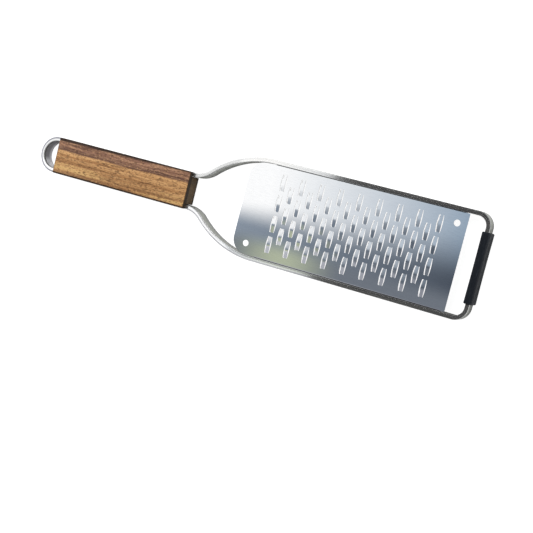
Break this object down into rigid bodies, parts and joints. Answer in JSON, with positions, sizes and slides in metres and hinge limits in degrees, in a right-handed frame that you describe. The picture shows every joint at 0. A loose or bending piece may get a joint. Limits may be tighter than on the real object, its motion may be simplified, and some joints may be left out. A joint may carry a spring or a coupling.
{
  "type": "ribbon grater",
  "caption": "Long paddle-shaped hand grater: a bent flat-bar steel loop carries an etched blade of raised ribbons, a wood handle and a rubber foot on the tip.",
  "frame": {"origin": "under the middle of the part's box, on the surface that the foot lies on", "axes": "+X from the hanging loop to the tip, +Y across the blade to the left when the tip points away, +Z out of the grating face"},
  "size_m": [0.3264, 0.068, 0.0149],
  "materials": {
    "bar_steel": "satin, drawn along the bar",
    "blade_steel": "bright, near mirror, with etched edges",
    "walnut": "oiled, grain along the handle",
    "black_rubber": "matt, moulded"
  },
  "bodies": {
    "root": {"frame_loop": "bar_steel", "grating_blade": "blade_steel", "wood_handle": "walnut", "rubber_foot": "black_rubber"}
  },
  "joints": []
}
